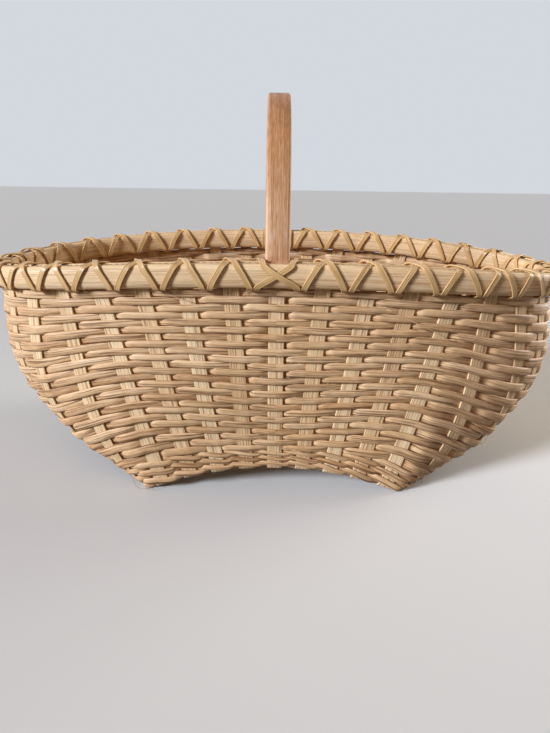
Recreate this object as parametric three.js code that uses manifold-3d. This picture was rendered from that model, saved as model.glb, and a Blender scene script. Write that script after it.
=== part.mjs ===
// A cathead basket: a square domed base of crossed flat-reed stakes that turn up into the walls,
// rows of flat-oval weavers, a rim row between two half-round rims laced with cane, and a bent
// hoop handle. Millimetres, +Z up. X runs along the length, the hoop stands in the plane x = 0,
// and the basket rests on its four corner feet at z = 0.
import * as THREE from "three";
import { mergeVertices } from "three/addons/utils/BufferGeometryUtils.js";
import Module from "manifold-3d";

// Reed and cane stock
const STAKE_WIDTH = 12.7;
const STAKE_THICKNESS = 1.4;
const WEAVER_WIDTH = 4.5;
const WEAVER_FLAT = 0.8; // from a weaver's middle to its flat inner face
const WEAVER_CROWN = 1.2; // from a weaver's middle to its rounded outer face
const RIM_ROW_WIDTH = 10;
const RIM_HEIGHT = 19;
const OUTER_RIM_THICKNESS = 6;
const INNER_RIM_THICKNESS = 5;
const RIM_EASE = 4; // height of the rounded shoulder of each rim
const LACE_WIDTH = 5;
const LACE_THICKNESS = 1;
const CLEARANCE = 0.3;
const BEND_ROOM = 1; // more where reed or cane bends round the rim's ends in facets

// Counts
const STAKES_PER_SIDE = 9;
const ROWS = 27;

// Body
const RIM_LENGTH = 530; // over the outer rim, along X
const RIM_SQUARENESS = 2.6; // exponent of the rim's oval: 2 is an ellipse
const FRONT_PITCH = 36; // from stake to stake along the front and back of the rim
const FRONT_LEAN = 0.5; // of the wall's middle at the rim, in from the wall's start, at mid-side
const RIM_RISE = 198; // from the outermost crossings to the rim's top, at the handle
const END_DROOP = 16; // how far the rim falls from the handle to each end
const BASE_CORNER = 100; // from the middle to the outermost stakes' crossing, along X and along Y
const END_BOW = 4; // how far the outermost stakes at the ends bow out between their crossings
const FRONT_HOLLOW = 2; // how far those at the front and back are drawn in
const EDGE_RISE = 15.5; // of the outermost stakes, from their crossings to mid-side
const DOME_RISE = 22.5; // of the base, from the outermost crossings to the middle
const BASE_LIP = 10; // from the outermost stakes to where the wall starts
const CORNER_POINT = 0.3; // how far the wall's start is drawn out at each corner, as a share of the lip
const WALL_FULLNESS = 2.9; // exponent of the ends' outward curve: 1 is straight, higher is fuller
const LEFT_SWELL = 6; // how far the left end bags out low down
const RIGHT_SWELL = 14; // and the right end, which is woven looser
const BELLY = 3; // swell of the wall at half height
const MIDDLE_SHIFT = -3; // of the rows a third of the way up, off even spacing, mid-front and mid-back
const CORNER_SHIFT = 10; // and at the corners, so that they run level over the feet
const END_SHIFT = 2; // and mid-end
const FOOT_FLAT = 1.4; // depth worn flat under each foot
const TWIST_ROOM = 3.2; // more between rows and stakes where the ends' stakes twist, at the wall's start
const TWIST_HEIGHT = 120; // that room is gone this far up the wall

// Handle
const HANDLE_RISE = 128; // of the hoop's top above the rim
const HANDLE_WIDTH = 19;
const HANDLE_THICKNESS = 8;
const HANDLE_NOTCH = 3; // thickness where the rims grip it
const HANDLE_EDGE = 1.8; // rounding of the hoop's long edges
const TAIL_WIDTH = 11.5;
const TAIL_THICKNESS = 2.2;
const TAIL_LENGTH = 96; // below the rim, behind the middle stake
const TAIL_TIP = 12; // length of the tail's taper

// Sizes that follow from those above
const RING = 4 * STAKES_PER_SIDE; // stake ends round the wall
const REACH = (STAKES_PER_SIDE - 1) / 2; // stake steps from the middle of a side to its last stake
const STAKE_GAP = STAKE_THICKNESS / 2 + CLEARANCE; // from a stake's middle to what lies on it
const OUT_LIFT = STAKE_GAP + WEAVER_FLAT; // weaver's middle in front of a stake
const IN_LIFT = STAKE_GAP + WEAVER_CROWN; // weaver's middle behind a stake
const ROW_LIFT = STAKE_GAP + STAKE_THICKNESS / 2; // the rim row is of stake reed
const RIM_FACE = ROW_LIFT + STAKE_GAP + BEND_ROOM; // wall's middle to a rim's flat face
const FILLER_SIZE = 2 * (RIM_FACE - BEND_ROOM);
const STAKE_END = FILLER_SIZE + 2 * CLEARANCE; // stakes stop this far below the rim's top
const RIM_ROW_DROP = STAKE_END + RIM_ROW_WIDTH / 2; // rim row's middle below the rim's top
const HANDLE_SPREAD = Math.max(0, STAKE_GAP + HANDLE_NOTCH + CLEARANCE - RIM_FACE);
const STAKE_SIDE = STAKE_WIDTH / 2 + CLEARANCE; // a weaver is clear of its stake this far out
const LACE_OFF = CLEARANCE + LACE_THICKNESS / 2; // lacing's middle off the rim
const LACE_STEP = LACE_THICKNESS + 4 * CLEARANCE; // one strand's middle over the other's
const LACE_ARCH = 2 * LACE_OFF + 3 * CLEARANCE; // lacing's middle above and below the rims, at the wall
const HOLE_DROP = RIM_HEIGHT / 2 + LACE_ARCH; // lacing holes below the rim's middle
const LACE_SPACE = HOLE_DROP + LACE_STEP + LACE_OFF + 2 * CLEARANCE - RIM_HEIGHT / 2;
const FIRST_ROW = WEAVER_WIDTH / 2 + 2 * STAKE_THICKNESS + 4 * CLEARANCE; // from the wall's start
const LAST_ROW = RIM_HEIGHT + LACE_SPACE + WEAVER_WIDTH / 2; // from the rim's top
const WALL_HALF_LENGTH = RIM_LENGTH / 2 - OUTER_RIM_THICKNESS - RIM_FACE;
const WALL_HALF_BREADTH = (BASE_CORNER - FRONT_HOLLOW) * (1 + BASE_LIP / BASE_CORNER) - FRONT_LEAN;

// Finishes
const finish = (color, roughness) => new THREE.MeshStandardMaterial({ color, roughness, metalness: 0 });
const weaverReed = finish("#c9a473", 0.72);
const stakeReed = finish("#d6b588", 0.75);
const rimReed = finish("#d0ab78", 0.6);
const bentOak = finish("#b58a5b", 0.62);
const laceCane = finish("#c79a55", 0.38);

const basket = new THREE.Group();
const body = new THREE.Group(); // lifted so that the feet stand at z = 0
basket.add(body);

function addPiece(name, geometry, material) {
  const mesh = new THREE.Mesh(geometry, material);
  mesh.name = name;
  body.add(mesh);
}

// A solid swept through stations. Each station is an outline of 3-D points, in the same order all
// along, and a closed sweep joins its last station to its first.
function sweep(stations, closed) {
  const sides = stations[0].length;
  const faces = [];
  const spans = closed ? stations.length : stations.length - 1;
  for (let i = 0; i < spans; i++) {
    const here = i * sides;
    const next = ((i + 1) % stations.length) * sides;
    for (let j = 0; j < sides; j++) {
      const k = (j + 1) % sides;
      // Faces on opposite sides are split along the same diagonal, so that a twisted strip keeps
      // its thickness.
      if (j < sides / 2) faces.push(here + j, here + k, next + k, here + j, next + k, next + j);
      else faces.push(here + j, here + k, next + j, here + k, next + k, next + j);
    }
  }
  if (!closed) {
    const end = (stations.length - 1) * sides;
    for (let j = 1; j < sides - 1; j++) {
      faces.push(0, j + 1, j, end, end + j, end + j + 1);
    }
  }
  const geometry = new THREE.BufferGeometry().setFromPoints(stations.flat());
  geometry.setIndex(faces);
  return facingOut(geometry);
}

// Turns every face round if the solid's signed volume is negative.
function facingOut(geometry) {
  const at = geometry.getAttribute("position");
  const index = geometry.getIndex();
  const [a, b, c] = [new THREE.Vector3(), new THREE.Vector3(), new THREE.Vector3()];
  let volume = 0;
  for (let i = 0; i < index.count; i += 3) {
    a.fromBufferAttribute(at, index.getX(i));
    b.fromBufferAttribute(at, index.getX(i + 1));
    c.fromBufferAttribute(at, index.getX(i + 2));
    volume += a.dot(b.cross(c));
  }
  if (volume < 0) geometry.setIndex([...index.array].reverse());
  return geometry;
}

// An outline's points in a station's axes, from pairs of (along across, along normal).
function outline(pairs, { centre, across, normal }) {
  return pairs.map(([u, w]) => centre.clone().addScaledVector(across, u).addScaledVector(normal, w));
}

function rectangle(width, thickness) {
  const [u, w] = [width / 2, thickness / 2];
  return [[-u, -w], [u, -w], [u, w], [-u, w]];
}

// The base: a dome over a square, with its sides bowed between the corners. tx and ty run from -1
// to 1 between the outermost stakes.
function basePoint(tx, ty) {
  const x = tx * (BASE_CORNER + END_BOW * (1 - ty * ty));
  const y = ty * (BASE_CORNER - FRONT_HOLLOW * (1 - tx * tx));
  const fall = DOME_RISE - EDGE_RISE;
  const z = DOME_RISE - fall * (tx * tx + ty * ty) - (DOME_RISE - 2 * fall) * tx * tx * ty * ty;
  return new THREE.Vector3(x, y, z);
}

// Where the wall starts at stake step k, which is 0 at the middle of the front and rises towards +X.
function wallStart(k) {
  const side = Math.round(k / STAKES_PER_SIDE);
  const step = k - side * STAKES_PER_SIDE;
  const t = THREE.MathUtils.clamp(step / REACH, -1, 1);
  const turn = (Math.max(0, Math.abs(step) - REACH) * Math.PI) / 2;
  const lip = BASE_LIP * (1 + CORNER_POINT * Math.sin(2 * turn) ** 2);
  const along = Math.sign(step) * lip * Math.sin(turn);
  const out = lip * Math.cos(turn);
  const [u, w] = [t + along / BASE_CORNER, 1 + out / BASE_CORNER];
  const quarter = ((side % 4) + 4) % 4;
  const [tx, ty] = [[u, -w], [w, u], [-u, w], [-w, -u]][quarter];
  return basePoint(tx, ty);
}

// The wall's middle line at the rim's top: an oval, walked from stake to stake by one pitch along
// the front and back and by what is left along the ends.
function ovalPoint(angle) {
  const bend = (value) => Math.sign(value) * Math.abs(value) ** (2 / RIM_SQUARENESS);
  const x = WALL_HALF_LENGTH * bend(Math.sin(angle));
  const y = -WALL_HALF_BREADTH * bend(Math.cos(angle));
  return new THREE.Vector3(x, y, RIM_RISE - END_DROOP * (x / WALL_HALF_LENGTH) ** 2);
}
const OVAL_STEPS = 1440;
const ovalAngle = (step) => (step / OVAL_STEPS) * 2 * Math.PI;
const ovalLengths = [0];
for (let i = 1; i <= OVAL_STEPS; i++) {
  const from = ovalPoint(ovalAngle(i - 1)).setZ(0);
  const to = ovalPoint(ovalAngle(i)).setZ(0);
  ovalLengths.push(ovalLengths[i - 1] + from.distanceTo(to));
}
const END_PITCH = ovalLengths[OVAL_STEPS] / (2 * STAKES_PER_SIDE) - FRONT_PITCH;
function rimLine(k) {
  const turn = ((k % RING) + RING) % RING;
  const side = Math.round(turn / STAKES_PER_SIDE);
  const step = turn - side * STAKES_PER_SIDE;
  const middle = (side * STAKES_PER_SIDE * (FRONT_PITCH + END_PITCH)) / 2;
  const around = ovalLengths[OVAL_STEPS];
  const wanted = (middle + step * (side % 2 === 0 ? FRONT_PITCH : END_PITCH) + around) % around;
  let i = 1;
  while (i < OVAL_STEPS && ovalLengths[i] < wanted) i++;
  const part = (wanted - ovalLengths[i - 1]) / (ovalLengths[i] - ovalLengths[i - 1]);
  return ovalPoint(ovalAngle(i - 1 + part));
}
function rimNormal(k) {
  const along = rimLine(k + 0.2).sub(rimLine(k - 0.2));
  return new THREE.Vector3(along.y, -along.x, 0).normalize();
}

// How far stake step k belongs to an end rather than to the front or back: 0 to 1, over a corner.
function endShare(k) {
  const step = Math.abs(k - 2 * STAKES_PER_SIDE * Math.round(k / (2 * STAKES_PER_SIDE)));
  return THREE.MathUtils.smoothstep(step, REACH - 0.2, REACH + 2);
}

// The wall's middle surface along stake step k, from its start to the rim's top: the ends swing out
// early, the front and back fan out evenly, all swell at half height and stand upright in the rims.
const WALL_STEPS = 9;
const WALL_CROWDING = 1.6; // its points lie closer together low down, where the wall bends most
const walls = new Map();
function wallCurve(k) {
  if (!walls.has(k)) {
    const [start, top, out] = [wallStart(k), rimLine(k), rimNormal(k)];
    const points = [];
    for (let i = 0; i <= WALL_STEPS; i++) {
      const turn = (i / WALL_STEPS) ** WALL_CROWDING * (Math.PI / 2);
      const rise = 1 - Math.cos(turn) ** (2 / WALL_FULLNESS);
      const spread = Math.sin(turn) ** (2 / WALL_FULLNESS);
      const settle = THREE.MathUtils.smoothstep(rise, 0, 1);
      const swing = THREE.MathUtils.lerp(rise, spread, endShare(k));
      const bag = (top.x > 0 ? RIGHT_SWELL : -LEFT_SWELL) * Math.sin(Math.PI * Math.sqrt(rise));
      const x = THREE.MathUtils.lerp(start.x, top.x, swing) + bag * endShare(k);
      const y = THREE.MathUtils.lerp(start.y, top.y, settle);
      const z = THREE.MathUtils.lerp(start.z, top.z - RIM_HEIGHT, rise);
      const swell = BELLY * Math.sin(Math.PI * rise) ** 2;
      points.push(new THREE.Vector3(x, y, z).addScaledVector(out, swell));
    }
    points.push(top);
    const lengths = [0];
    for (let i = 1; i < points.length; i++) {
      lengths.push(lengths[i - 1] + points[i].distanceTo(points[i - 1]));
    }
    walls.set(k, { points, lengths });
  }
  return walls.get(k);
}
const wallLength = (k) => wallCurve(k).lengths.at(-1);

// The wall's point at distance s from its start along stake step k, carried on past either end.
function wallPoint(k, s) {
  const { points, lengths } = wallCurve(k);
  let i = 1;
  while (i < points.length - 1 && lengths[i] < s) i++;
  const part = (s - lengths[i - 1]) / (lengths[i] - lengths[i - 1]);
  return points[i - 1].clone().lerp(points[i], part);
}

// Axes on the wall: up along the stake, across it, and straight out of the basket. A stake is flat
// between two points of its curve, so the axes there are drawn from those two points.
function wallFrame(k, s) {
  const { lengths } = wallCurve(k);
  let i = 1;
  while (i < lengths.length - 1 && lengths[i] < s) i++;
  const part = THREE.MathUtils.clamp((s - lengths[i - 1]) / (lengths[i] - lengths[i - 1]), 0, 1);
  const acrossAt = (j) => wallCurve(k + 0.1).points[j].clone().sub(wallCurve(k - 0.1).points[j]).normalize();
  const up = wallPoint(k, s + 0.5).sub(wallPoint(k, s - 0.5)).normalize();
  const across = acrossAt(i - 1).lerp(acrossAt(i), part);
  across.addScaledVector(up, -across.dot(up)).normalize();
  return { centre: wallPoint(k, s), up, across, normal: across.clone().cross(up) };
}

// Stakes: one strip up a wall, over and under the crossing strips of the base, up the far wall.
const BASE_WAVE = STAKE_GAP / (1 - (STAKE_WIDTH * REACH) / (BASE_CORNER - FRONT_HOLLOW));
function stakeRise(k, flip) {
  const heights = [...wallCurve(k).lengths.slice(0, -1), wallLength(k) - STAKE_END].reverse();
  return heights.map((s) => {
    const frame = wallFrame(k, s);
    return { ...frame, across: frame.across.multiplyScalar(flip) };
  });
}
function stakeCrossings(index, alongY) {
  const point = (t, place) => (alongY ? basePoint(place, t) : basePoint(t, place));
  const place = index / REACH;
  const frames = [];
  const past = STAKE_SIDE / BASE_CORNER; // a strip stays level across its last crossing
  const crossings = [];
  for (let other = -REACH; other <= REACH; other++) crossings.push([other, other / REACH]);
  crossings.unshift([-REACH, -1 - past]);
  crossings.push([REACH, 1 + past]);
  for (const [other, t] of crossings) {
    const along = point(t + 0.02, place).sub(point(t - 0.02, place)).normalize();
    const across = point(t, place + 0.02).sub(point(t, place - 0.02));
    across.addScaledVector(along, -across.dot(along)).normalize();
    if (!alongY) across.negate();
    const normal = along.clone().cross(across); // out of the basket, downwards
    const below = (index + other) % 2 === 0 === alongY ? 1 : -1;
    frames.push({ centre: point(t, place).addScaledVector(normal, below * BASE_WAVE), across, normal });
  }
  return frames;
}
function stakeGeometry(index, alongY) {
  const ends = alongY
    ? [index, 2 * STAKES_PER_SIDE - index]
    : [3 * STAKES_PER_SIDE - index, STAKES_PER_SIDE + index];
  const near = stakeRise(ends[0], 1);
  const far = stakeRise(ends[1], -1).reverse();
  const frames = [...near, ...stakeCrossings(index, alongY), ...far];
  const strip = rectangle(STAKE_WIDTH, STAKE_THICKNESS);
  return sweep(frames.map((frame) => outline(strip, frame)), false);
}

// Rows: each is a ring that passes the stakes by turns outside and inside. At the stakes beside a
// corner it lies flat across the stake, so that it can turn sharply round the corner.
const isOutside = (row, k) => (row + k) % 2 !== 0;
const isHandleStake = (k) => k % (2 * STAKES_PER_SIDE) === 0;
const isBeforeCorner = (k) => k % STAKES_PER_SIDE === REACH;
const isAfterCorner = (k) => k % STAKES_PER_SIDE === REACH + 1;
function rowStations(pairs, row, height, outLift, inLift, flatOnStakes) {
  const stations = [];
  const isFlat = (k) => flatOnStakes || isBeforeCorner(k) || isAfterCorner(k);
  // How far the row's middle must stand off the stake, if it ran straight on past the stake's edges.
  const needed = (k) => {
    const twist = TWIST_ROOM * endShare(k) * Math.max(0, 1 - height(k) / TWIST_HEIGHT);
    if (isOutside(row, k)) return outLift + twist;
    const tailEnd = wallLength(k) - RIM_HEIGHT - TAIL_LENGTH - WEAVER_WIDTH;
    return inLift + twist + (isHandleStake(k) && height(k) > tailEnd ? TAIL_THICKNESS + CLEARANCE : 0);
  };
  for (let k = 0; k < RING; k++) {
    const frame = wallFrame(k, height(k));
    const flat = isFlat(k);
    let lift = needed(k);
    if (!flat) {
      // The next stakes draw the row off at an angle, and on a curved wall they lie further in.
      const ways = [k - 1, k + 1].map((next) => {
        const way = wallPoint(next, height(next)).sub(frame.centre);
        const reach = Math.abs(way.dot(frame.across)) - (isFlat(next) ? STAKE_SIDE : 0);
        return { share: STAKE_SIDE / reach, bend: (-way.dot(frame.normal) * STAKE_SIDE) / reach };
      });
      const share = Math.max(ways[0].share, ways[1].share);
      const bends = ways.map((way) => way.bend);
      const bend = isOutside(row, k) ? Math.max(...bends) : -Math.min(...bends);
      const beside = Math.max(needed(k - 1), needed(k + 1)) - bend;
      lift = ((lift + bend) * (1 - share) + beside * share) / (1 - 2 * share);
    }
    frame.centre.addScaledVector(frame.normal, isOutside(row, k) ? lift : -lift);
    for (const side of flat ? [-STAKE_SIDE, STAKE_SIDE] : [0]) {
      const centre = frame.centre.clone().addScaledVector(frame.across, side);
      stations.push(outline(pairs, { centre, across: frame.up, normal: frame.normal }));
    }
    if (isBeforeCorner(k)) {
      const corner = wallFrame(k + 0.5, height(k + 0.5));
      stations.push(outline(pairs, { ...corner, across: corner.up }));
    }
  }
  return stations;
}
const FLAT_ROWS = 7; // the lowest rows lie flat on every stake, to clear the base
const flatOval = [
  [-WEAVER_WIDTH / 2, -WEAVER_FLAT],
  [WEAVER_WIDTH / 2, -WEAVER_FLAT],
  [0, WEAVER_CROWN],
];
function rowShift(k, share) {
  const step = Math.abs(k - 2 * STAKES_PER_SIDE * Math.round(k / (2 * STAKES_PER_SIDE)));
  const toCorner = THREE.MathUtils.smoothstep(step, 0, STAKES_PER_SIDE / 2);
  const toEnd = THREE.MathUtils.smoothstep(step, STAKES_PER_SIDE / 2, STAKES_PER_SIDE);
  const most = MIDDLE_SHIFT + (CORNER_SHIFT - MIDDLE_SHIFT) * toCorner + (END_SHIFT - CORNER_SHIFT) * toEnd;
  return most * (27 / 4) * share * (1 - share) ** 2; // the last factors reach 4/27 at a third
}
function weaverGeometry(row) {
  const share = (row - 1) / (ROWS - 1);
  const even = (k) => THREE.MathUtils.lerp(FIRST_ROW, wallLength(k) - LAST_ROW, share);
  const height = (k) => even(k) + rowShift(k, share);
  return sweep(rowStations(flatOval, row, height, OUT_LIFT, IN_LIFT, row <= FLAT_ROWS), true);
}

// The rim row: flat reed woven through the stakes' ends, hidden between the rims.
function rimRowGeometry() {
  const strip = rectangle(RIM_ROW_WIDTH, STAKE_THICKNESS);
  const height = (k) => wallLength(k) - RIM_ROW_DROP;
  return sweep(rowStations(strip, ROWS + 2, height, ROW_LIFT, ROW_LIFT, true), true);
}

// Axes at the rim: up, and level out of the basket, from the wall's middle at half the rim's height.
function rimFrame(k) {
  const centre = rimLine(k);
  centre.z -= RIM_HEIGHT / 2;
  return { centre, across: new THREE.Vector3(0, 0, 1), normal: rimNormal(k) };
}

// Rims: half-round reed, flat against the wall. The inner one bows round the handle's legs.
const RIM_STEP = 0.5; // of a stake step
function rimGeometry(side, thickness) {
  const stations = [];
  const [half, eased] = [RIM_HEIGHT / 2, RIM_HEIGHT / 2 - RIM_EASE];
  for (let k = 0; k < RING; k += RIM_STEP) {
    const fromHandle = Math.abs(k - 2 * STAKES_PER_SIDE * Math.round(k / (2 * STAKES_PER_SIDE)));
    const face = side * (RIM_FACE + (side < 0 && fromHandle < 1 ? HANDLE_SPREAD : 0));
    const back = face + side * thickness;
    stations.push(outline([[-half, face], [-eased, back], [eased, back], [half, face]], rimFrame(k)));
  }
  return sweep(stations, true);
}

// Rim fillers: a round reed laid in the slot between the rims, from one leg of the handle to the other.
const FILLER_SIDES = 4;
const FILLER_BREAK = (HANDLE_WIDTH / 2 + 2 * CLEARANCE) / FRONT_PITCH; // of a stake step
function fillerGeometry(from) {
  const last = 2 * STAKES_PER_SIDE - FILLER_BREAK;
  const steps = [FILLER_BREAK];
  for (let k = RIM_STEP; k < last; k += RIM_STEP) steps.push(k);
  steps.push(last);
  const drop = RIM_HEIGHT / 2 - FILLER_SIZE / 2;
  const round = [];
  for (let i = 0; i < FILLER_SIDES; i++) {
    const angle = (i / FILLER_SIDES) * 2 * Math.PI;
    round.push([drop + (FILLER_SIZE / 2) * Math.cos(angle), (FILLER_SIZE / 2) * Math.sin(angle)]);
  }
  return sweep(steps.map((k) => outline(round, rimFrame(from + k))), false);
}

// Handle: a hoop with a notch for the rims and a thin tail tucked down behind each middle stake.
const HOOP_STEPS = 16;
function handleOutline(width, thickness, edge, frame) {
  const [u, outer] = [width / 2, -STAKE_GAP];
  const inner = outer - thickness;
  const pairs = [
    [-u, inner + edge], [-u + edge, inner], [u - edge, inner], [u, inner + edge],
    [u, outer - edge], [u - edge, outer], [-u + edge, outer], [-u, outer - edge],
  ];
  return outline(pairs, frame);
}
function handleLeg(k, flip) {
  const top = wallLength(k);
  const rimFoot = top - RIM_HEIGHT;
  const tailEnd = rimFoot - TAIL_LENGTH;
  const thinEdge = TAIL_THICKNESS / 4;
  const sections = [[tailEnd, TAIL_WIDTH / 2, TAIL_THICKNESS / 2, thinEdge / 2]];
  const bends = 3;
  for (let i = 0; i <= bends; i++) {
    const s = THREE.MathUtils.lerp(tailEnd + TAIL_TIP, rimFoot - LACE_SPACE, i / bends);
    sections.push([s, TAIL_WIDTH, TAIL_THICKNESS, thinEdge]);
  }
  sections.push([rimFoot - CLEARANCE, HANDLE_WIDTH, HANDLE_NOTCH, thinEdge]);
  sections.push([top + CLEARANCE / 2, HANDLE_WIDTH, HANDLE_NOTCH, thinEdge]);
  sections.push([top + CLEARANCE, HANDLE_WIDTH, HANDLE_THICKNESS, HANDLE_EDGE]);
  return sections.map(([s, width, thickness, edge]) => {
    const frame = wallFrame(k, s);
    frame.across.multiplyScalar(flip);
    return handleOutline(width, thickness, edge, frame);
  });
}
function handleGeometry() {
  const reach = -rimLine(0).y;
  const spring = RIM_RISE + 2 * CLEARANCE; // height where the hoop starts to bend
  const rise = HANDLE_RISE - 2 * CLEARANCE + STAKE_GAP;
  const across = new THREE.Vector3(1, 0, 0);
  const hoop = [];
  for (let i = 1; i < HOOP_STEPS; i++) {
    const angle = (i / HOOP_STEPS) * Math.PI;
    const [c, s] = [Math.cos(angle), Math.sin(angle)];
    const centre = new THREE.Vector3(0, -reach * c, spring + rise * s);
    const normal = new THREE.Vector3(0, -rise * c, reach * s).normalize();
    hoop.push(handleOutline(HANDLE_WIDTH, HANDLE_THICKNESS, HANDLE_EDGE, { centre, across, normal }));
  }
  const farLeg = handleLeg(2 * STAKES_PER_SIDE, -1).reverse();
  return sweep([...handleLeg(0, 1), ...hoop, ...farLeg], false);
}

// Lacing: two cane strands wound round the rims in opposite directions, one turn to a stake. They
// pass the wall below the rims, between the stakes, and cross on top of the rims over each stake.
// At the handle they part on top and cross on the outer face instead.
const LACE_PITCH = Math.min(FRONT_PITCH, END_PITCH);
const HOLE_PART = (0.65 * LACE_WIDTH + 2 * CLEARANCE) / LACE_PITCH; // all of a stake step
const CREST_PART = (0.75 * LACE_WIDTH) / LACE_PITCH;
const HANDLE_PART = (HANDLE_WIDTH / 2 + LACE_WIDTH / 2 + 3 * CLEARANCE) / FRONT_PITCH;
function laceTurn(k, direction) {
  const over = direction < 0 ? LACE_STEP : 0; // the second strand lies on the first
  const atHandle = isHandleStake(k);
  const part = atHandle ? HANDLE_PART : 0;
  const outer = RIM_FACE + OUTER_RIM_THICKNESS + LACE_OFF + BEND_ROOM / 2;
  const inner = RIM_FACE + INNER_RIM_THICKNESS + LACE_OFF + BEND_ROOM + (atHandle ? HANDLE_SPREAD : 0);
  const shoulder = RIM_HEIGHT / 2 - RIM_EASE + 2 * LACE_OFF;
  const crest = RIM_HEIGHT / 2 + LACE_ARCH + over;
  const hole = 0.5 - HOLE_PART;
  const fall = Math.min(CREST_PART, hole - part);
  // Each row: stake steps on from k, height above the rim's middle, distance out of the wall's middle.
  const path = [
    [-0.5, -HOLE_DROP - over, 0],
    [-hole, -shoulder - over, outer + (atHandle ? over : 0)],
    [part - CREST_PART, shoulder + over, outer + over],
    [part, crest, 0],
    [part + fall, shoulder + over, -inner - over],
    [hole, -shoulder - over, -inner],
  ];
  return path.map(([step, height, out]) => {
    const frame = rimFrame(k + direction * step);
    const centre = frame.centre.addScaledVector(frame.across, height).addScaledVector(frame.normal, out);
    const away = frame.normal.multiplyScalar(Math.sign(out));
    away.addScaledVector(frame.across, (out === 0 ? 1 : 0.35) * Math.sign(height));
    return { centre, away };
  });
}
function laceGeometry(direction, name) {
  const places = [];
  const first = 2 * STAKES_PER_SIDE; // both strands start and end at the handle's far leg
  for (let turn = first; turn < first + RING; turn++) {
    places.push(...laceTurn(direction * turn, direction));
  }
  const strip = rectangle(LACE_WIDTH, LACE_THICKNESS);
  const sections = places.map(({ centre, away }, i) => {
    const before = places[Math.max(0, i - 1)].centre;
    const after = places[Math.min(places.length - 1, i + 1)].centre;
    const along = after.clone().sub(before).normalize();
    const across = along.clone().cross(away).normalize();
    return outline(strip, { centre, across, normal: across.clone().cross(along) });
  });
  console.log(`${name}: least gap to itself ${leastGap(sections).toFixed(2)} mm`);
  return sweep(sections, false);
}

// The least distance between points on the edges of a strand, over spans a turn or so apart.
function leastGap(sections) {
  const parts = 4;
  const apart = 4;
  const points = [];
  for (let i = 0; i < sections.length - 1; i++) {
    for (let part = 0; part < parts; part++) {
      for (let edge = 0; edge < sections[i].length; edge++) {
        const at = sections[i][edge].clone().lerp(sections[i + 1][edge], part / parts);
        points.push({ at, span: i });
      }
    }
  }
  let least = Infinity;
  for (let i = 0; i < points.length; i++) {
    for (let j = i + 1; j < points.length; j++) {
      if (points[j].span - points[i].span < apart) continue;
      if (points[j].span - points[i].span > 2 * RING) break;
      least = Math.min(least, points[i].at.distanceTo(points[j].at));
    }
  }
  return least;
}

// Cuts away what lies below a level, to leave the flats that the feet stand on.
const wasm = await Module();
wasm.setup();
function solidOf(geometry) {
  const bare = new THREE.BufferGeometry();
  bare.setAttribute("position", geometry.getAttribute("position"));
  bare.setIndex(geometry.getIndex());
  const merged = mergeVertices(bare, 1e-4);
  const vertProperties = new Float32Array(merged.getAttribute("position").array);
  const triVerts = new Uint32Array(merged.getIndex().array);
  return new wasm.Manifold(new wasm.Mesh({ numProp: 3, vertProperties, triVerts }));
}
const SLIVER = 0.1; // faces of the cut narrower than this are closed up
function cutFlat(geometry, level) {
  const slab = new THREE.BoxGeometry(2 * RIM_LENGTH, 2 * RIM_LENGTH, RIM_RISE);
  slab.translate(0, 0, level - RIM_RISE / 2);
  const cut = solidOf(geometry).subtract(solidOf(slab)).simplify(SLIVER).getMesh();
  const flat = new THREE.BufferGeometry();
  flat.setAttribute("position", new THREE.BufferAttribute(new Float32Array(cut.vertProperties), 3));
  flat.setIndex(new THREE.BufferAttribute(new Uint32Array(cut.triVerts), 1));
  return flat;
}
function lowestOf(geometry) {
  geometry.computeBoundingBox();
  return geometry.boundingBox.min.z;
}

// Assembly, from the base up. The two outermost cross stakes pass under the corner crossings, so
// they carry the feet.
const numbered = (name, number) => `${name}_${String(number).padStart(2, "0")}`;
const floor = lowestOf(stakeGeometry(REACH, true)) + FOOT_FLAT;
for (let index = -REACH; index <= REACH; index++) {
  const strip = stakeGeometry(index, true);
  const geometry = Math.abs(index) === REACH ? cutFlat(strip, floor) : strip;
  addPiece(numbered("cross_stake", index + REACH + 1), geometry, stakeReed);
}
for (let index = -REACH; index <= REACH; index++) {
  addPiece(numbered("long_stake", index + REACH + 1), stakeGeometry(index, false), stakeReed);
}
for (let row = 1; row <= ROWS; row++) {
  addPiece(numbered("weaver_row", row), weaverGeometry(row), weaverReed);
}
addPiece("rim_row", rimRowGeometry(), stakeReed);
addPiece("outer_rim", rimGeometry(1, OUTER_RIM_THICKNESS), rimReed);
addPiece("inner_rim", rimGeometry(-1, INNER_RIM_THICKNESS), rimReed);
addPiece("rim_filler_right", fillerGeometry(0), weaverReed);
addPiece("rim_filler_left", fillerGeometry(2 * STAKES_PER_SIDE), weaverReed);
addPiece("hoop_handle", handleGeometry(), bentOak);
addPiece("lacing_rising", laceGeometry(1, "lacing_rising"), laceCane);
addPiece("lacing_falling", laceGeometry(-1, "lacing_falling"), laceCane);
body.position.z = -floor;

export default basket;
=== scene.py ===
"""A cathead basket of woven reed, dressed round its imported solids.

The file follows the basket as it is made: stakes, weaver rows, loose hairs, rims, handle and
lacing, each with its sizes, its mesh and its material, and then the room it stands in.
Lengths are in millimetres until a mesh is made, and the meshes are in metres.
"""

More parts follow.
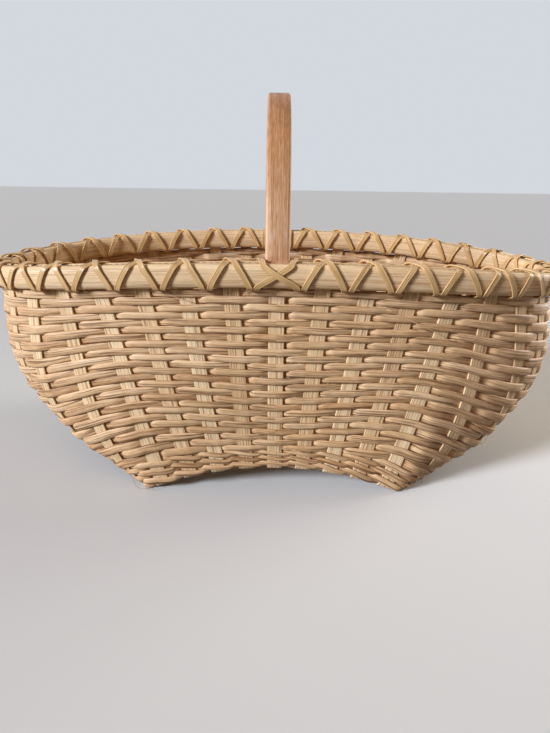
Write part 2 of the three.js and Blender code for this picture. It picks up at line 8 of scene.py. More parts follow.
import bpy
import numpy as np
from mathutils import Matrix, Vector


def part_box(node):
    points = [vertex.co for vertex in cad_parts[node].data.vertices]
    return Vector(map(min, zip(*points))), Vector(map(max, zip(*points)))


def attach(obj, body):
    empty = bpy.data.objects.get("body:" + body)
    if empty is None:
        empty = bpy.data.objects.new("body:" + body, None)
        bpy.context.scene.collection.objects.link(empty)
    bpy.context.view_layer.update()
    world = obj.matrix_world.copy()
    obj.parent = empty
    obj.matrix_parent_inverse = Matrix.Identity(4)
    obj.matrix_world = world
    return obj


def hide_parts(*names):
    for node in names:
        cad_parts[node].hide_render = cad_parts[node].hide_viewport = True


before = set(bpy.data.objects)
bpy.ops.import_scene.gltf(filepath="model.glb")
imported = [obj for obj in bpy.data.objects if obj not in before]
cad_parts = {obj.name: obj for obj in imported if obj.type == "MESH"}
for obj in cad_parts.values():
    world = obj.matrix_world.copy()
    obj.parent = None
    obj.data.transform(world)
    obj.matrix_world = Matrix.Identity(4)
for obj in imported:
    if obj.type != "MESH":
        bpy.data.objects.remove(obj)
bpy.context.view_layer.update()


# Stakes: eighteen strips of half-inch flat reed, split and planed, their edges just broken. Each
# comes down one wall, weaves over and under the crossing strips of the base and goes up the far
# wall to the rim, which grips it.

# They carry the basket's shape: a domed square base, a wall that starts just outside it at each of
# 36 stake ends, and an oval rim. Stake step k is 0 mid-front and grows to the right.
rim_rise, rim_height, end_droop = 198.0, 19.0, 16.0
half_length, half_breadth, squareness, front_pitch = 255.3, 107.3, 2.6, 36.0
base_half, base_rise, wall_gap, foot_point = 100.0, 22.5, 10.0, 0.3
end_bow, side_bow, side_fall, corner_fall = 4.0, 2.0, 7.0, 8.5
fullness, belly, left_swell, right_swell = 2.9, 3.0, 6.0, 14.0
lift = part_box("outer_rim")[1].z * 1000 - rim_rise


def ease(x, low, high):
    """0 below low, 1 above high, and 3t^2 - 2t^3 between them."""
    t = np.clip((x - low) / (high - low), 0, 1)
    return t * t * (3 - 2 * t)


def unit(v):
    """Vectors of length 1: each divided by its length."""
    return v / np.linalg.norm(v, axis=-1, keepdims=True)


def base_point(tx, ty):
    """The base: a dome over a square with bowed sides, falling by squares to its corners."""
    x = tx * (base_half + end_bow * (1 - ty**2))
    y = ty * (base_half - side_bow * (1 - tx**2))
    z = base_rise - side_fall * (tx**2 + ty**2) - corner_fall * tx**2 * ty**2
    return np.stack([x, y, z], -1)


def wall_start(k):
    """Where the wall starts: a gap outside the outermost stakes, round each corner in a point."""
    side = np.round(k / 9)
    step = k - 9 * side
    t = np.clip(step / 4, -1, 1)
    turn = np.maximum(0, np.abs(step) - 4) * np.pi / 2
    gap = wall_gap * (1 + foot_point * np.sin(2 * turn) ** 2) / base_half
    u = t + np.sign(step) * gap * np.sin(turn)
    w = 1 + gap * np.cos(turn)
    side = side.astype(int) % 4
    return base_point(np.choose(side, [u, w, -u, -w]), np.choose(side, [-w, u, w, -u]))


def rim_line(k):
    """The oval |x/a|^2.6 + |y/b|^2.6 = 1 at the rim's top, walked by one pitch along the front and
    back and by what is left along the ends. It droops towards the ends by the square of x."""
    angle = np.linspace(0, 2 * np.pi, 7201)
    sine, cosine = np.sin(angle), np.cos(angle)
    oval = np.stack([half_length * np.sign(sine) * np.abs(sine) ** (2 / squareness),
                     -half_breadth * np.sign(cosine) * np.abs(cosine) ** (2 / squareness)], -1)
    far = np.r_[0, np.cumsum(np.linalg.norm(np.diff(oval, axis=0), axis=1))]
    side = np.round(np.mod(k, 36) / 9)
    pitch = np.where(side % 2 == 0, front_pitch, far[-1] / 18 - front_pitch)
    at = np.mod(side * far[-1] / 4 + (np.mod(k, 36) - 9 * side) * pitch, far[-1])
    x, y = np.interp(at, far, oval[:, 0]), np.interp(at, far, oval[:, 1])
    return np.stack([x, y, rim_rise - end_droop * (x / half_length) ** 2], -1)


def rim_normal(k):
    """Level, straight out of the rim: the rim's own direction, turned a quarter to the right."""
    along = rim_line(k + 0.2) - rim_line(k - 0.2)
    return unit(np.stack([along[..., 1], -along[..., 0], np.zeros(along.shape[:-1])], -1))


def wall_column(k):
    """The wall along stake step k: ends swing out early by a superellipse and bag out low down,
    front and back fan out evenly, all swell at half height, and the rim's part stands upright."""
    start, top, out = (f(np.array([k]))[0] for f in (wall_start, rim_line, rim_normal))
    turn = np.linspace(0, np.pi / 2, 121)
    rise = 1 - np.cos(turn) ** (2 / fullness)
    spread = np.sin(turn) ** (2 / fullness)
    end = ease(abs(k - 18 * round(k / 18)), 3.8, 6)
    bag = (right_swell if top[0] > 0 else -left_swell) * np.sin(np.pi * np.sqrt(rise))
    x = start[0] + (top[0] - start[0]) * (rise + (spread - rise) * end) + bag * end
    y = start[1] + (top[1] - start[1]) * ease(rise, 0, 1)
    z = start[2] + (top[2] - rim_height - start[2]) * rise
    line = np.stack([x, y, z], -1) + out * (belly * np.sin(np.pi * rise) ** 2)[:, None]
    return np.concatenate([line, top[None]])


column_steps, column_heights = 12, 96
columns = [wall_column(n / column_steps) for n in range(36 * column_steps)]
wall_far = [np.r_[0, np.cumsum(np.linalg.norm(np.diff(c, axis=0), axis=1))] for c in columns]
wall_length = np.array([far[-1] for far in wall_far])
wall_table = np.stack([
    np.stack([np.interp(np.linspace(0, far[-1], column_heights + 1), far, axis) for axis in c.T], -1)
    for c, far in zip(columns, wall_far)
])


def length_at(k):
    """The wall's length from its start to the rim's top along stake step k."""
    at = np.mod(k, 36) * column_steps
    i = np.floor(at).astype(int)
    n = len(wall_length)
    return wall_length[i % n] + (wall_length[(i + 1) % n] - wall_length[i % n]) * (at - i)


def wall_point(k, share):
    """The wall's point at stake step k and a share of its length, straight between table points."""
    k, share = np.broadcast_arrays(np.mod(k, 36) * column_steps, np.clip(share, 0, 1) * column_heights)
    i = np.floor(k).astype(int)
    j = np.minimum(np.floor(share).astype(int), column_heights - 1)
    a, b = (k - i)[..., None], (share - j)[..., None]
    n = len(wall_table)
    low = wall_table[i % n, j] * (1 - a) + wall_table[(i + 1) % n, j] * a
    high = wall_table[i % n, j + 1] * (1 - a) + wall_table[(i + 1) % n, j + 1] * a
    return low * (1 - b) + high * b


def wall_axes(k, share):
    """Unit vectors on the wall: along the row, up the stake and straight out of the basket."""
    along = unit(wall_point(k + 0.12, share) - wall_point(k - 0.12, share))
    up = wall_point(k, share + 0.012) - wall_point(k, share - 0.012)
    up = unit(up - along * (up * along).sum(-1, keepdims=True))
    return along, up, np.cross(along, up)


def spaced(line, step):
    """A line's rows at equal distances of about step. The first three columns are its points."""
    far = np.r_[0, np.cumsum(np.linalg.norm(np.diff(line[:, :3], axis=0), axis=1))]
    at = np.linspace(0, far[-1], int(far[-1] / step) + 2)
    return np.stack([np.interp(at, far, column) for column in line.T], -1)


def soften(line, passes):
    """Each row moved to a quarter, a half and a quarter of its neighbours and itself, some times."""
    for _ in range(passes):
        line[1:-1] = (line[:-2] + 2 * line[1:-1] + line[2:]) / 4
    return line


def strip(name, centre, across, normal, section, closed, tint, material, nodes):
    """A strip or tube: station i has its section's points at
    centre + across * (first column) + normal * (second column), joined to the next station.

    The UV is the distance along the strip and round the section, in metres. The attribute tint
    is how pale the strip is, which may drift along it (on the handle it carries painted shade,
    darker on top), and seed sets its grain apart.
    """
    stations, sides = len(centre), section.shape[-2]
    section = np.broadcast_to(section, (stations, sides, 2))
    points = centre[:, None] + across[:, None] * section[..., :1] + normal[:, None] * section[..., 1:]
    spans = stations if closed else stations - 1
    i, j = np.meshgrid(np.arange(spans), np.arange(sides), indexing="ij")
    here, there, after = i * sides, (i + 1) % stations * sides, (j + 1) % sides
    quads = np.stack([here + j, here + after, there + after, there + j], -1).reshape(-1, 4)
    steps = np.linalg.norm(np.diff(centre, axis=0, append=centre[:1]), axis=1)
    along = np.r_[0, np.cumsum(steps)] / 1000
    ring = section[stations // 2]
    edges = np.linalg.norm(np.diff(ring, axis=0, append=ring[:1]), axis=1)
    around = np.r_[0, np.cumsum(edges)] / 1000
    u = np.stack([along[i], along[i], along[i + 1], along[i + 1]], -1)
    v = np.stack([around[j], around[j + 1], around[j + 1], around[j]], -1)
    uv = np.stack([u, v], -1).reshape(-1, 2)
    flat = points.reshape(-1, 3)
    corners = flat[quads]
    turned = (corners[:, 0] * np.cross(corners[:, 1], corners[:, 2])).sum() < 0
    if turned:
        quads = quads[:, ::-1]
        uv = uv.reshape(-1, 4, 2)[:, ::-1].reshape(-1, 2)
    faces = quads.tolist()
    if not closed:
        first = list(range(sides))
        last = [(stations - 1) * sides + n for n in first]
        faces += [first, last[::-1]] if turned else [first[::-1], last]
        uv = np.concatenate([uv, np.zeros((2 * sides, 2))])
    mesh = bpy.data.meshes.new(name)
    mesh.from_pydata(((flat + [0, 0, lift]) / 1000).tolist(), [], faces)
    mesh.uv_layers.new(name="UVMap").data.foreach_set("uv", uv.astype(np.float32).ravel())
    values = np.repeat(np.broadcast_to(tint, stations), sides).astype(np.float32)
    mesh.attributes.new("tint", "FLOAT", "POINT").data.foreach_set("value", values)
    seeds = np.full(len(flat), 0.37 * len(bpy.data.meshes), np.float32)
    mesh.attributes.new("seed", "FLOAT", "POINT").data.foreach_set("value", seeds)
    mesh.polygons.foreach_set("use_smooth", np.ones(len(faces), bool))
    mesh.materials.append(material)
    piece = bpy.data.objects.new(name, mesh)
    bpy.context.scene.collection.objects.link(piece)
    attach(piece, "root")
    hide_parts(*nodes)


def srgb(code, alpha=1.0):
    """An sRGB hex colour as linear red, green and blue, with alpha."""
    parts = [int(code[i : i + 2], 16) / 255 for i in (1, 3, 5)]
    return [p / 12.92 if p <= 0.04045 else ((p + 0.055) / 1.055) ** 2.4 for p in parts] + [alpha]


def add(tree, kind, settings=None, **links):
    """Adds a shader node: settings go on the node, links on its input sockets by name.

    A link is an output socket of another node, or a plain value. A number at the end of the
    name picks one of several inputs alike, counted from 0.
    """
    made = tree.nodes.new(kind)
    for key, value in (settings or {}).items():
        setattr(made, key, value)
    for key, value in links.items():
        name, _, number = key.rpartition("_")
        if number.isdigit():
            socket = [s for s in made.inputs if s.name == name.replace("_", " ")][int(number)]
        else:
            socket = made.inputs[key.replace("_", " ")]
        if isinstance(value, bpy.types.NodeSocket):
            tree.links.new(value, socket)
        else:
            socket.default_value = value
    return made


def reed(name, light, middle, dark, line, streak, rough, coat=0.0, fibre=0.9, spread=0.5):
    """Split reed, cane or wood: long fibres along the strip, paler and darker bands, short flecks,
    blotches and a fine bump.

    fibre is the width of a fibre in millimetres, line the colour of the dark ones and streak how
    strong they are, and spread how much one strip differs from the next.
    """
    material = bpy.data.materials.new(name)
    material.use_nodes = True
    tree = material.node_tree
    tree.nodes.clear()
    uv = add(tree, "ShaderNodeUVMap", {"uv_map": "UVMap"}).outputs["UV"]
    tint = add(tree, "ShaderNodeAttribute", {"attribute_name": "tint"}).outputs["Fac"]
    seed = add(tree, "ShaderNodeAttribute", {"attribute_name": "seed"}).outputs["Fac"]
    apart = add(tree, "ShaderNodeCombineXYZ", X=seed, Z=seed).outputs["Vector"]
    grain = {}
    for kind, length, width, detail in (("fibres", 60, fibre, 2.0), ("bands", 110, 3.6 * fibre, 2.0),
                                        ("flecks", 7, 0.7 * fibre, 1.0), ("blotches", 28, 14, 2.0)):
        place = add(tree, "ShaderNodeVectorMath", {"operation": "MULTIPLY"}, Vector_0=uv,
                    Vector_1=(1000 / length, 1000 / width, 0))
        place = add(tree, "ShaderNodeVectorMath", {"operation": "MULTIPLY_ADD"}, Vector_0=apart,
                    Vector_1=(11, 0, 17), Vector_2=place.outputs[0])
        grain[kind] = add(tree, "ShaderNodeTexNoise", Vector=place.outputs[0], Scale=1.0, Detail=detail,
                          Roughness=0.55).outputs["Fac"]
    weights = {"bands": 0.9, "flecks": 0.9, "blotches": 0.6}
    tone = add(tree, "ShaderNodeMath", {"operation": "MULTIPLY_ADD"}, Value_0=tint, Value_1=spread,
               Value_2=(1 - spread - sum(weights.values())) / 2).outputs[0]
    for kind, weight in weights.items():
        tone = add(tree, "ShaderNodeMath", {"operation": "MULTIPLY_ADD"}, Value_0=grain[kind],
                   Value_1=weight, Value_2=tone).outputs[0]
    colour = add(tree, "ShaderNodeValToRGB", Fac=tone)
    stops = colour.color_ramp.elements
    stops.new(0.5)
    for stop, position, code in zip(stops, (0.0, 0.45, 1.0), (dark, middle, light)):
        stop.position, stop.color = position, srgb(code)
    lines = add(tree, "ShaderNodeMapRange", Value=grain["fibres"], From_Min=0.48, From_Max=0.66,
                To_Min=0.0, To_Max=streak)
    shaded = add(tree, "ShaderNodeMix", {"data_type": "RGBA"}, Factor_0=lines.outputs[0],
                 A_2=colour.outputs["Color"], B_2=srgb(line))
    bump = add(tree, "ShaderNodeBump", Strength=0.5, Distance=0.0004, Height=grain["fibres"])
    bsdf = add(tree, "ShaderNodeBsdfPrincipled", Base_Color=shaded.outputs[2], Roughness=rough,
               Normal=bump.outputs[0], Specular_IOR_Level=0.3, Coat_Weight=coat, Coat_Roughness=0.28)
    add(tree, "ShaderNodeOutputMaterial", Surface=bsdf.outputs[0])
    return material


# Planed flat reed is the palest part of the basket, matt, with brown pores in long lines.
flat_reed = reed("flat reed", "#F6DBB0", "#EAC899", "#CFA475", "#8C5F38", 0.8, 0.6)
half_width, half_thickness, edge = 6.35, 0.7, 0.35
quarter_edge = np.array([(half_width, half_thickness - edge), (half_width - edge, half_thickness),
                         (half_width - 2 * edge, half_thickness)])
stake_section = np.concatenate([quarter_edge, quarter_edge[::-1] * (-1, 1), -quarter_edge,
                                quarter_edge[::-1] * (1, -1)])
stake_step, weave_depth, top_room = 2.0, 0.95, 6.0
rng = np.random.default_rng(4)
for across_base in (True, False):
    for index in range(-4, 5):
        ends = (index, 18 - index) if across_base else (27 - index, 9 + index)
        sides = []
        for k, flip in zip(ends, (1, -1)):
            share = np.linspace(0, 1 - top_room / length_at(k), 120)
            rows = np.concatenate([wall_point(k, share), flip * wall_axes(k, share)[0]], -1)
            sides.append(rows[::-1] if flip > 0 else rows)
        t = np.linspace(-1.08, 1.08, 160)
        place = np.full_like(t, index / 4)
        point = (lambda a, b: base_point(b, a)) if across_base else base_point
        along = unit(point(t + 0.01, place) - point(t - 0.01, place))
        across = unit(point(t, place + 0.01) - point(t, place - 0.01)) * (1 if across_base else -1)
        down = np.cross(along, across)
        wave = np.cos(np.pi * (4 * np.clip(t, -1, 1) + index)) * (1 if across_base else -1)
        wave = np.sign(wave) * np.abs(wave) ** 0.7 * (1 - ease(np.abs(t), 1.03, 1.08))
        bottom = np.concatenate([point(t, place) + down * (weave_depth * wave)[:, None], across], -1)
        line = soften(spaced(np.concatenate([sides[0], bottom, sides[1]]), stake_step), 3)
        along = unit(np.gradient(line[:, :3], axis=0))
        across = unit(line[:, 3:] - along * (line[:, 3:] * along).sum(-1, keepdims=True))
        node = f"{'cross' if across_base else 'long'}_stake_{index + 5:02d}"
        strip(f"{node}_reed", line[:, :3], across, np.cross(along, across), stake_section, False,
              rng.uniform(0.1, 1), flat_reed, [node])


# Weaver rows: quarter-inch flat-oval reed, its rounded side out. A row passes each stake outside
# or inside by turns: it comes out steeply on the left of a stake and sinks back slowly on its
# right. The lowest rows are pairs of thin strands that twist round each other between stakes.


def ripple(rng, k, waves, size):
    """A sum of sines that closes after one way round the basket, with random phases."""
    turns = rng.integers(2, 15, waves)
    phases = rng.uniform(0, 2 * np.pi, waves)
    return size * np.sin(np.outer(k / 36 * 2 * np.pi, turns) + phases).sum(-1) / np.sqrt(waves)


# Oval reed was cut with its fibres showing: tan, streaked, with a dull sheen, and each length of
# it has a shade of its own. Fibres are drawn 1.3 mm wide, coarser than real ones, to show.
oval_reed = reed("flat-oval reed", "#EECA9F", "#D6AC7E", "#B4855A", "#765030", 0.95, 0.52, fibre=1.3,
                 spread=0.6)
row_count, twined_rows, first_row, last_gap = 27, 3, 6.25, 29.85
middle_shift, corner_shift, end_shift = -3.0, 10.0, 6.0
hump = 6.75  # share * (1 - share)^2 times this is 1 at its highest, a third of the way up
outside_reach, inside_reach, tail_reach, foot_lift = 1.7, 2.3, 2.4, 0.8
wander, slip_size, width_change, shade_change = 0.3, 0.03, 0.025, 0.15
fill, end_fill, inside_fill, tail_fill = 1.03, 0.1, 0.2, 0.7
twined_lean, single_lean, strand_width, strand_thickness = 0.26, 0.25, 0.34, 1.3
bar_steps = [-1, -0.73, -0.63, -0.25, 0.2, 0.8, 0.88, 1]
bar_depths = [-1, -1, 0.45, 1, 1, -0.6, -1, -1]
turn = np.linspace(0, 2 * np.pi, 16, endpoint=False)
circle = np.stack([np.cos(turn), np.sin(turn)], -1)
oval = np.stack([np.sign(np.cos(turn)) * np.abs(np.cos(turn)) ** 0.85,
                 np.where(np.sin(turn) > 0, 1.45 * np.sin(turn), 0.7 * np.sin(turn))], -1)
rng = np.random.default_rng(11)
k = np.arange(0, 36, 1 / 20)
from_leg = np.abs(k - 18 * np.round(k / 18))
settle = (middle_shift + (corner_shift - middle_shift) * ease(from_leg, 0, 4.5)
          + (end_shift - corner_shift) * ease(from_leg, 4.5, 9))
length = length_at(k)
for row in range(1, row_count + 1):
    share = (row - 1) / (row_count - 1)
    pitch = length - last_gap + settle * hump * (1 - share) * (1 - 3 * share)
    pitch = pitch / (row_count - 1)
    height = first_row + share * (length - last_gap) + settle * hump * share * (1 - share) ** 2
    height = height + ripple(rng, k, 6, wander)
    twined = row <= twined_rows
    # A strand's shape is 1 where it lies outside a stake and -1 where it lies inside.
    for strand in (1, -1) if twined else (1,):
        if twined:
            outside = np.where((row + np.round(k)) % 2 != 0, strand, -strand)
            shape = outside * np.abs(np.cos(np.pi * k)) ** 0.7
            lean = twined_lean * pitch
        else:
            slip = ripple(rng, k, 7, slip_size)
            shape = np.interp(np.mod(k + slip - row, 2) - 1, bar_steps, bar_depths)
            shape = (np.roll(shape, 1) + 2 * shape + np.roll(shape, -1)) / 4
            lean = single_lean
        tail = ease(height, length - 138, length - 98) * np.exp(-((from_leg / 0.45) ** 2))
        reach = np.where(shape > 0, outside_reach, inside_reach + tail_reach * tail)
        over_foot = np.exp(-(((np.mod(k, 9) - 4.5) / 0.4) ** 2)) * max(0, twined_rows + 1 - row)
        level = height + foot_lift * over_foot + lean * np.sin(np.pi * k) * strand * (-1) ** row
        along, up, out = wall_axes(k, level / length)
        centre = wall_point(k, level / length) + out * (shape * reach)[:, None]
        along = unit(np.roll(centre, -1, axis=0) - np.roll(centre, 1, axis=0))
        up = unit(up - along * (up * along).sum(-1, keepdims=True))
        tint = np.clip(rng.uniform(0.1, 0.9) + ripple(rng, k, 4, shade_change), 0, 1)
        if twined:
            size = np.stack([strand_width * pitch, np.full_like(pitch, strand_thickness)], -1)
            section = circle[None] * size[:, None]
            name = f"weaver_row_{row:02d}_strand_{1 if strand > 0 else 2}"
        else:
            width = pitch / 2 * (fill + end_fill * ease(from_leg, 5, 8))
            width = width * (1 + ripple(rng, k, 5, width_change))
            near_tail = ease(height, length - 145, length - 125) * np.exp(-((from_leg / 0.7) ** 2))
            width = width * (1 + (inside_fill + tail_fill * near_tail) * np.clip(-shape, 0, 1))
            section = oval[None] * np.stack([width, np.ones_like(width)], -1)[:, None]
            name = f"weaver_row_{row:02d}_reed"
        strip(name, centre, up, np.cross(along, up), section, True, tint, oval_reed,
              [f"weaver_row_{row:02d}"])


# Loose hairs: a few fine fibres that have come away from the reed. Each runs from one place on the
# wall to another, given as stake steps and shares of the height, and bows out by some millimetres.

hair_radius, hair_start = 0.28, 2.9
hairs = ((2.5, 4.3, 0.82, 0.71, 5.0), (-2.7, -1.8, 0.90, 0.83, 2.5), (-0.75, -0.5, 0.86, 0.92, 1.5),
         (-4.9, -4.3, 0.10, 0.02, 5.0), (4.6, 5.2, 0.06, 0.12, 3.5), (5.2, 6.0, 0.42, 0.34, 6.0),
         (0.6, 1.5, 0.12, 0.10, 3.0))
for number, (k_from, k_to, share_from, share_to, bow) in enumerate(hairs, 1):
    t = np.linspace(0, 1, 15)
    k, share = k_from + (k_to - k_from) * t, share_from + (share_to - share_from) * t
    along, up, out = wall_axes(k, share)
    centre = wall_point(k, share) + out * (hair_start + bow * np.sin(np.pi * t**1.5))[:, None]
    row = max(1, round(row_count * share_from))
    strip(f"loose_hair_{number}", centre, up, out, circle[::4] * hair_radius, False, 0.9, oval_reed,
          [f"weaver_row_{row:02d}"])


# Rims: three-quarter-inch half-round reed outside and inside, with a flat row and a twisted
# cord of grass shut in between them. Both strips are bent round green and laced to the wall.

# Half-round reed keeps a smoother skin: honey-coloured, with a soft sheen and few dark lines.
rim_reed = reed("rim reed", "#F4D7AC", "#E7C395", "#CDA16C", "#986C3E", 0.5, 0.5, fibre=1.1, spread=0.2)
rim_face, leg_bow = 3.7, 0.6
k = np.arange(0, 36, 1 / 12)
middle = rim_line(k) - [0, 0, rim_height / 2]
upright, out = np.tile([0.0, 0, 1], (len(k), 1)), rim_normal(k)
bend = np.linspace(-np.pi / 2, np.pi / 2, 15)
bulge = np.stack([rim_height / 2 * np.sign(np.sin(bend)) * np.abs(np.sin(bend)) ** 0.72,
                  np.abs(np.cos(bend)) ** 0.62], -1)
for name, side, thickness, tint in (("outer_rim", 1, 6.0, 0.7), ("inner_rim", -1, 5.0, 0.4)):
    bow = leg_bow * (1 - ease(np.abs(k - 18 * np.round(k / 18)), 0.6, 1.4)) * (side < 0)
    depth = side * (rim_face + bow[:, None] + thickness * bulge[None, :, 1])
    section = np.stack([np.broadcast_to(bulge[:, 0], depth.shape), depth], -1)
    strip(f"{name}_reed", middle, upright, out, section, True, tint, rim_reed, [name])

row_drop, row_reach = 11.0, 1.7
flat_row = np.array([(-5, -0.7), (5, -0.7), (5, 0.7), (-5, 0.7)])
wave = np.cos(np.pi * k)[:, None] * row_reach
strip("rim_row_reed", rim_line(k) - [0, 0, row_drop] + out * wave, upright, out, flat_row, True, 0.5,
      flat_reed, ["rim_row"])

# Twisted grass is rough and dark, in two plies of fine blades.
grass = reed("twisted grass", "#CDB07C", "#B48F5A", "#86653A", "#5E4322", 0.6, 0.8, fibre=0.5)
ply_radius, ply_offset, ply_lay, cord_drop = 1.4, 1.25, 10.0, 2.7
for name, start in (("rim_filler_right", 0), ("rim_filler_left", 18)):
    k = start + np.linspace(0.3, 17.7, 1100)
    line = rim_line(k) - [0, 0, cord_drop]
    far = np.cumsum(np.r_[0, np.linalg.norm(np.diff(line, axis=0), axis=1)])
    for ply in (0, 1):
        angle = (far / ply_lay * 2 * np.pi + np.pi * ply)[:, None]
        centre = line + ply_offset * (np.cos(angle) * [0, 0, 1] + np.sin(angle) * rim_normal(k))
        along = unit(np.gradient(centre, axis=0))
        across = unit(np.cross(along, [0.0, 0, 1]))
        strip(f"{name}_ply_{ply + 1}", centre, across, np.cross(along, across), circle * ply_radius,
              False, 0.3 + 0.4 * ply, grass, [name])


# Handle: a steamed hardwood strip bent into a hoop, three quarters of an inch wide, with its long
# edges rounded over, a notch where the rims grip it and a thin tail down inside each wall.

# Bent hardwood is sanded and worn by hands: pinkish brown with a faint polish. It is painted
# paler low down and darker on top as painted shade, where the hoop curves away from the light.
hardwood = reed("bent hardwood", "#E3B994", "#BD8759", "#98643A", "#7A4D2C", 0.32, 0.48, coat=0.12,
                fibre=1.0, spread=0.7)
hoop_width, hoop_thickness, hoop_foot, hoop_rise, edge_radius = 19.0, 8.0, 198.6, 128.4, 2.2
hoop_inset, leg_gap = 5.0, 1.0
legs = []
for k in (0, 18):
    length = float(length_at(np.array(float(k))))
    s = np.concatenate([np.linspace(length - 115, length - 19, 40), np.linspace(length - 18, length, 12)])
    keys = length - np.array([115, 103, 24.5, 19.3, 1.2, -0.3])
    wide = np.interp(s, keys, [5.75, 11.5, 11.5, hoop_width, hoop_width, hoop_width])
    thick = np.interp(s, keys, [1.1, 2.2, 2.2, 3, 3, hoop_thickness])
    along, up, out = wall_axes(np.full_like(s, k), s / length)
    point = wall_point(k, s / length) - out * (leg_gap + thick / 2)[:, None]
    legs.append(np.concatenate([point, np.stack([wide, thick], -1)], -1))
angle = np.linspace(0, np.pi, 140)[1:-1]
sine, cosine = np.sin(angle), np.cos(angle)
arch = np.stack([0 * angle, -half_breadth * cosine, hoop_foot + hoop_rise * sine], -1)
slope = unit(np.stack([0 * angle, -hoop_rise * cosine, half_breadth * sine], -1))
hoop = np.concatenate([arch - slope * hoop_inset, np.tile([hoop_width, hoop_thickness], (len(angle), 1))], -1)
line = np.concatenate([legs[0], hoop, legs[1][::-1]])
along = unit(np.gradient(line[:, :3], axis=0))
across = np.tile([1.0, 0, 0], (len(line), 1))
corners = np.linspace(0, np.pi / 2, 5) + np.arange(4)[:, None] * np.pi / 2
rounds = np.stack([np.cos(corners), np.sin(corners)], -1)
signs = np.broadcast_to(np.sign(rounds[:, 2:3]), rounds.shape).reshape(-1, 2)
radius = np.minimum(edge_radius, line[:, 4] * 0.32)[:, None, None]
section = signs * (line[:, None, 3:] / 2 - radius) + rounds.reshape(-1, 2) * radius
# Painted shade: tint falls from 0.95 below 215 mm to 0.2 above 300 mm, darkening the top of the hoop as if it
# curved away from the light.
tint = 0.95 - 0.75 * ease(line[:, 2], 215, 300)
strip("hoop_handle_wood", line[:, :3], across, np.cross(along, across), section, False, tint, hardwood,
      ["hoop_handle"])


# Lacing: two strands of glossy cane wound round the rims in opposite directions. They go through
# below the rims midway between stakes, cross on top over each stake, and at the handle part on
# top and cross on the outer face.

# Cane keeps the hard skin of the rattan vine: golden, with a glossy coat and raised edges.
cane = reed("binding cane", "#EBC691", "#D8AE74", "#B58A52", "#8A6234", 0.4, 0.36, coat=0.3, fibre=0.8,
            spread=0.25)
cane_section = np.array([(-2.3, -0.1), (-2.2, 0.5), (-1.9, 0.75), (-1.5, 0.55), (-0.7, 0.65),
                         (0.7, 0.65), (1.5, 0.55), (1.9, 0.75), (2.2, 0.5), (2.3, -0.1),
                         (1.7, -0.4), (-1.7, -0.4)])
# A knot of the path is a stake step on from the stitch, a height above the middle of the rim and
# a distance out of the wall. A smooth cubic goes through the knots.
for name, way, over in (("lacing_rising", 1, 0.0), ("lacing_falling", -1, 1.3)):
    knots = []
    for stitch in range(18, 54):
        at_leg = stitch % 18 == 0
        part, raised = (0.36, over) if at_leg else (0.0, 0.0)
        for step, high, far in (
            (-0.5, -10.9 - 0.6 * over, 0.0),
            (-0.43, -10.0, 8.0),
            (-0.405, -7.4, 10.3),
            (part / 2 - (0.24 if at_leg else 0.30), 0.0, 10.9 + raised),
            (part - (0.10 if at_leg else 0.17), 7.4, 10.3),
            (part - (0.05 if at_leg else 0.10), 9.6 + over, 7.2),
            (part, 10.5 + over, 0.0),
            (part + (0.03 if at_leg else 0.10), 9.6 + over, -6.6),
            (part + (0.04 if at_leg else 0.17), 7.4, -9.8),
            ((part + 0.04) / 2 + (0.2 if at_leg else 0.28), 0.0, -10.2),
            (0.40, -7.4, -9.8),
            (0.44, -10.0, -7.2),
        ):
            knots.append((way * (stitch + step), high, far))
    knots = np.array(knots)
    t = np.arange(0, len(knots) - 1, 1 / 6)
    i = np.floor(t).astype(int)
    f = (t - i)[:, None]
    p0, p1, p2, p3 = (knots[np.clip(i + n, 0, len(knots) - 1)] for n in (-1, 0, 1, 2))
    path = 0.5 * (2 * p1 + (p2 - p0) * f + (2 * p0 - 5 * p1 + 4 * p2 - p3) * f**2
                  + (3 * p1 - p0 - 3 * p2 + p3) * f**3)
    k, high, far = path.T
    out = rim_normal(k)
    centre = rim_line(k) + out * far[:, None] + np.stack([0 * k, 0 * k, high - rim_height / 2], -1)
    along = unit(np.gradient(centre, axis=0))
    upward = np.sign(high) * (np.abs(high) / 11) ** 3
    away = out * (far / 10.5)[:, None] + np.stack([0 * k, 0 * k, upward], -1)
    across = unit(np.cross(along, away))
    strip(f"{name}_cane", centre, across, np.cross(across, along), cane_section, False, 0.5, cane,
          [name])


# The room: a pale paper floor and a pale backdrop, a soft window light from the left and a weaker
# one from the right and behind, and the camera at standing height in front. The floor throws
# little light back up, as a dark table does, and shows pale to the camera and in reflections.

scene = bpy.context.scene


def pale_rays(tree):
    """1 for camera, glossy and transmission rays, which see the pale room, and 0 for the others."""
    path = add(tree, "ShaderNodeLightPath").outputs
    either = add(tree, "ShaderNodeMath", {"operation": "MAXIMUM"}, Value_0=path["Is Camera Ray"],
                 Value_1=path["Is Glossy Ray"])
    either = add(tree, "ShaderNodeMath", {"operation": "MAXIMUM"}, Value_0=either.outputs[0],
                 Value_1=path["Is Transmission Ray"])
    return either.outputs[0]


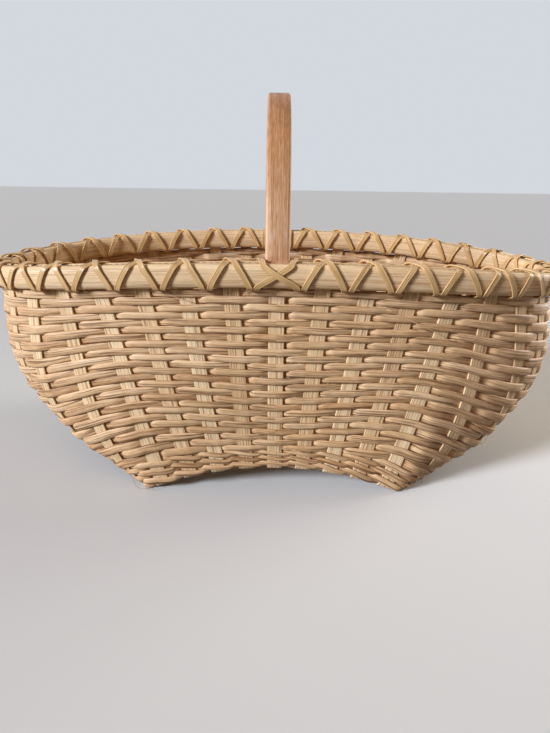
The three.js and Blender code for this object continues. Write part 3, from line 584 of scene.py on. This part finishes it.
paper = bpy.data.materials.new("pale paper")
paper.use_nodes = True
sheet = paper.node_tree.nodes["Principled BSDF"]
sheet.inputs["Roughness"].default_value = 0.9
tone = add(paper.node_tree, "ShaderNodeMix", {"data_type": "RGBA"}, Factor_0=pale_rays(paper.node_tree),
           A_2=srgb("#4A443E"), B_2=srgb("#D8D6D2"))
paper.node_tree.links.new(tone.outputs[2], sheet.inputs["Base Color"])
floor_mesh = bpy.data.meshes.new("floor")
floor_mesh.from_pydata([(-6, -6, 0), (6, -6, 0), (6, 6, 0), (-6, 6, 0)], [], [(0, 1, 2, 3)])
floor_mesh.materials.append(paper)
floor = bpy.data.objects.new("floor", floor_mesh)
scene.collection.objects.link(floor)

world = bpy.data.worlds.new("studio")
scene.world = world
world.use_nodes = True
sky = world.node_tree
sky.nodes.clear()
lit = add(sky, "ShaderNodeBackground", Color=srgb("#FAE0C2"), Strength=0.22)
seen = add(sky, "ShaderNodeBackground", Color=srgb("#D3D8DE"), Strength=1.0)
both = add(sky, "ShaderNodeMixShader", Fac=pale_rays(sky), Shader_0=lit.outputs[0],
           Shader_1=seen.outputs[0])
add(sky, "ShaderNodeOutputWorld", Surface=both.outputs[0])


def light(name, kind, place, target, power, code, **settings):
    """A light of that kind at place, turned to face target."""
    data = bpy.data.lights.new(name, kind)
    data.energy, data.color = power, srgb(code)[:3]
    for key, value in settings.items():
        setattr(data, key, value)
    lamp = bpy.data.objects.new(name, data)
    lamp.location = place
    aim = np.array(target) - np.array(place)
    level = np.hypot(aim[0], aim[1])
    lamp.rotation_euler = (np.arctan2(level, -aim[2]), 0, np.arctan2(-aim[0], aim[1]))
    scene.collection.objects.link(lamp)


light("right window", "AREA", (1.2, 0.35, 0.45), (0.2, 0, 0.15), 2.3, "#FFFDFA", size=0.6,
      spread=np.radians(70))
light("left window", "SUN", (-1.6, -0.92, 0.9), (0, 0, 0.1), 5.05, "#E8F0FF", angle=np.radians(16))

camera_data = bpy.data.cameras.new("camera")
camera_data.lens, camera_data.sensor_width = 25.42, 36
camera = bpy.data.objects.new("camera", camera_data)
camera.location = (-0.0018, -0.5069, 0.2739)
yaw, tilt, roll = np.radians([-0.16, 68.77, 0.83])
turned = Matrix.Rotation(yaw, 3, "Z") @ Matrix.Rotation(tilt, 3, "X") @ Matrix.Rotation(roll, 3, "Z")
camera.rotation_euler = turned.to_euler()
scene.collection.objects.link(camera)
scene.camera = camera
scene.view_settings.view_transform = "Standard"
